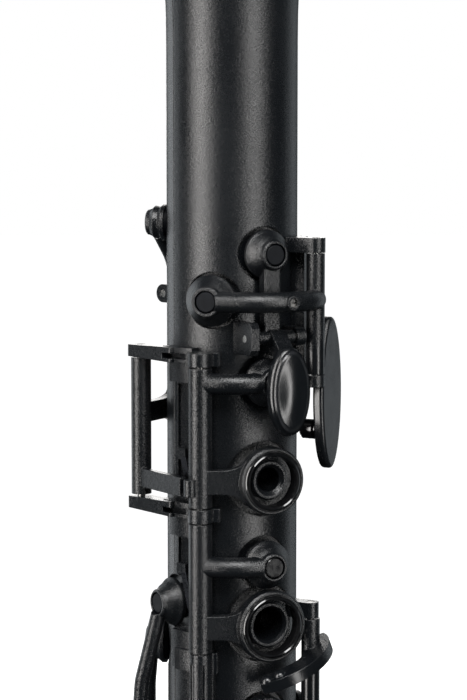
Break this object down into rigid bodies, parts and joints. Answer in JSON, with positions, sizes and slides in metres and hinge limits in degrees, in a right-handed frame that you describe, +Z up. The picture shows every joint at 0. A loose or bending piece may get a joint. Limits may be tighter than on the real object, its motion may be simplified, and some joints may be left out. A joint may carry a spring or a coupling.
{
  "type": "clarinet",
  "caption": "Moulded black plastic clarinet standing on its bell, with ring keys, throat keys, side keys, little finger keys, mouthpiece and reed.",
  "frame": {"origin": "centre of the bell's rim plane, where the instrument stands", "axes": "+Z up the bore towards the mouthpiece, -Y towards the front where the finger holes are, -X towards the player's right hand side"},
  "size_m": [0.077, 0.077, 0.672],
  "materials": {
    "body_plastic": "satin moulded black, fine grain",
    "key_plastic": "satin moulded black, slightly smoother than the body",
    "mouthpiece_plastic": "polished black",
    "ligature_plastic": "satin black",
    "screw_plastic": "satin black",
    "pad_silicone": "matte dark grey silicone",
    "soft_rubber": "glossy black rubber",
    "steel": "ground steel",
    "reed": "scraped cane"
  },
  "bodies": {
    "instrument": {"mouthpiece": "mouthpiece_plastic", "ligature": "ligature_plastic", "barrel": "body_plastic", "upper_joint": "body_plastic", "lower_joint": "body_plastic", "bell": "body_plastic", "thumb_rest": "body_plastic", "ring_key_saddles": "body_plastic", "a_key_posts": "body_plastic", "g_sharp_bracket": "body_plastic", "rocker_posts": "body_plastic", "upper_joint_posts": "body_plastic", "lower_joint_posts": "body_plastic", "reed": "reed", "tenon_seals": "soft_rubber", "pivot_rods": "steel", "springs": "steel", "thumb_rest_screw": "steel"},
    "a_key": {"a_key": "key_plastic", "a_pad": "pad_silicone"},
    "g_sharp_key": {"g_sharp_key": "key_plastic", "g_sharp_pad": "pad_silicone", "g_sharp_bumper": "soft_rubber", "adjusting_screw": "steel"},
    "thumb_ring": {"thumb_ring_key": "key_plastic", "thumb_ring_lip": "soft_rubber"},
    "first_ring": {"first_ring_key": "key_plastic", "first_ring_soft": "soft_rubber"},
    "second_ring": {"second_ring_key": "key_plastic", "second_ring_soft": "soft_rubber"},
    "lower_rings": {"lower_ring_key": "key_plastic", "lower_ring_soft": "soft_rubber"},
    "register_key": {"register_key": "key_plastic", "register_pad": "pad_silicone"},
    "side_key_upper": {"side_key_upper": "key_plastic", "side_pad_upper": "pad_silicone"},
    "side_key_lower": {"side_key_lower": "key_plastic", "side_pad_lower": "pad_silicone"},
    "cross_key": {"cross_key": "key_plastic", "cross_pad": "pad_silicone"},
    "sliver_key": {"sliver_key": "key_plastic", "sliver_pad": "pad_silicone"},
    "c_sharp_key": {"c_sharp_key": "key_plastic", "c_sharp_pad": "pad_silicone"},
    "f_sharp_key": {"f_sharp_key": "key_plastic", "f_sharp_pad": "pad_silicone"},
    "a_flat_key": {"a_flat_key": "key_plastic", "a_flat_pad": "pad_silicone"},
    "low_f_key": {"low_f_key": "key_plastic", "low_f_pad": "pad_silicone"},
    "low_e_key": {"low_e_key": "key_plastic", "low_e_pad": "pad_silicone"},
    "left_f_lever": {"left_f_lever": "key_plastic"},
    "left_e_lever": {"left_e_lever": "key_plastic"},
    "ligature_screw_lower": {"ligature_screw_lower": "screw_plastic"},
    "ligature_screw_upper": {"ligature_screw_upper": "screw_plastic"}
  },
  "joints": [
    {"name": "a_key_pivot", "type": "hinge", "parent": "instrument", "child": "a_key", "pos_m": [0, -0.0172, 0.4602], "axis": [1, 0, 0], "range_deg": [0, 5], "stiffness_Nm_per_rad": 0.02, "springref_deg": -17.19},
    {"name": "g_sharp_hinge", "type": "hinge", "parent": "instrument", "child": "g_sharp_key", "pos_m": [0.01046, -0.0174, 0.465], "axis": [0, 0, 1], "range_deg": [0, 5.5], "stiffness_Nm_per_rad": 0.02, "springref_deg": -17.19},
    {"name": "thumb_ring_hinge", "type": "hinge", "parent": "instrument", "child": "thumb_ring", "pos_m": [-0.01784, 0.00813, 0.44], "axis": [0, 0, -1], "range_deg": [0, 4.5], "stiffness_Nm_per_rad": 0.02, "springref_deg": -17.19},
    {"name": "first_ring_hinge", "type": "hinge", "parent": "instrument", "child": "first_ring", "pos_m": [-0.01354, -0.01077, 0.44], "axis": [0, 0, 1], "range_deg": [0, 5], "stiffness_Nm_per_rad": 0.02, "springref_deg": -17.19},
    {"name": "second_ring_hinge", "type": "hinge", "parent": "instrument", "child": "second_ring", "pos_m": [-0.01354, -0.01077, 0.407], "axis": [0, 0, 1], "range_deg": [0, 5], "stiffness_Nm_per_rad": 0.02, "springref_deg": -17.19},
    {"name": "lower_rings_hinge", "type": "hinge", "parent": "instrument", "child": "lower_rings", "pos_m": [-0.01354, -0.01077, 0.27], "axis": [0, 0, 1], "range_deg": [0, 5], "stiffness_Nm_per_rad": 0.02, "springref_deg": -17.19},
    {"name": "register_pivot", "type": "hinge", "parent": "instrument", "child": "register_key", "pos_m": [-0.0045, 0.01681, 0.4675], "axis": [-0.9659, -0.2588, 0], "range_deg": [0, 7], "stiffness_Nm_per_rad": 0.02, "springref_deg": -17.19},
    {"name": "side_upper_pivot", "type": "hinge", "parent": "instrument", "child": "side_key_upper", "pos_m": [-0.01997, 0.00461, 0.368], "axis": [-0.225, -0.9744, 0], "range_deg": [0, 4], "stiffness_Nm_per_rad": 0.02, "springref_deg": -17.19},
    {"name": "side_lower_pivot", "type": "hinge", "parent": "instrument", "child": "side_key_lower", "pos_m": [-0.0139, 0.01296, 0.366], "axis": [-0.682, -0.7314, 0], "range_deg": [0, 4.5], "stiffness_Nm_per_rad": 0.02, "springref_deg": -17.19},
    {"name": "cross_key_hinge", "type": "hinge", "parent": "instrument", "child": "cross_key", "pos_m": [0.01093, -0.01505, 0.38], "axis": [0, 0, -1], "range_deg": [0, 7], "stiffness_Nm_per_rad": 0.02, "springref_deg": -17.19},
    {"name": "sliver_hinge", "type": "hinge", "parent": "instrument", "child": "sliver_key", "pos_m": [0.01218, -0.01353, 0.259], "axis": [0, 0, -1], "range_deg": [0, 8], "stiffness_Nm_per_rad": 0.02, "springref_deg": -17.19},
    {"name": "c_sharp_hinge", "type": "hinge", "parent": "instrument", "child": "c_sharp_key", "pos_m": [0.01324, -0.01278, 0.346], "axis": [0, 0, 1], "range_deg": [0, 8], "stiffness_Nm_per_rad": 0.02, "springref_deg": -17.19},
    {"name": "f_sharp_hinge", "type": "hinge", "parent": "instrument", "child": "f_sharp_key", "pos_m": [-0.01816, 0.00127, 0.212], "axis": [0, 0, 1], "range_deg": [0, 7], "stiffness_Nm_per_rad": 0.02, "springref_deg": -17.19},
    {"name": "a_flat_hinge", "type": "hinge", "parent": "instrument", "child": "a_flat_key", "pos_m": [-0.01816, 0.00127, 0.172], "axis": [0, 0, 1], "range_deg": [0, 7], "stiffness_Nm_per_rad": 0.02, "springref_deg": -17.19},
    {"name": "low_f_hinge", "type": "hinge", "parent": "instrument", "child": "low_f_key", "pos_m": [0.01218, -0.01353, 0.216], "axis": [0, 0, -1], "range_deg": [0, 5], "stiffness_Nm_per_rad": 0.02, "springref_deg": -17.19},
    {"name": "low_e_hinge", "type": "hinge", "parent": "instrument", "child": "low_e_key", "pos_m": [0.01218, -0.01353, 0.181], "axis": [0, 0, -1], "range_deg": [0, 5], "stiffness_Nm_per_rad": 0.02, "springref_deg": -17.19},
    {"name": "left_f_hinge", "type": "hinge", "parent": "instrument", "child": "left_f_lever", "pos_m": [0.01812, 0.0032, 0.263], "axis": [0, 0, 1], "range_deg": [0, 9], "stiffness_Nm_per_rad": 0.02, "springref_deg": -17.19},
    {"name": "left_e_hinge", "type": "hinge", "parent": "instrument", "child": "left_e_lever", "pos_m": [0.01231, 0.01367, 0.252], "axis": [0, 0, 1], "range_deg": [0, 8], "stiffness_Nm_per_rad": 0.02, "springref_deg": -17.19},
    {"name": "ligature_screw_lower_turn", "type": "hinge", "parent": "instrument", "child": "ligature_screw_lower", "pos_m": [0.0069, 0.0192, 0.6125], "axis": [1, 0, 0], "continuous": true},
    {"name": "ligature_screw_upper_turn", "type": "hinge", "parent": "instrument", "child": "ligature_screw_upper", "pos_m": [0.0069, 0.0192, 0.6235], "axis": [1, 0, 0], "continuous": true}
  ],
  "couplings": [
    {"joint": "left_f_hinge", "follows": "low_f_hinge", "ratio": 1.78},
    {"joint": "left_e_hinge", "follows": "low_e_hinge", "ratio": 1.562}
  ]
}
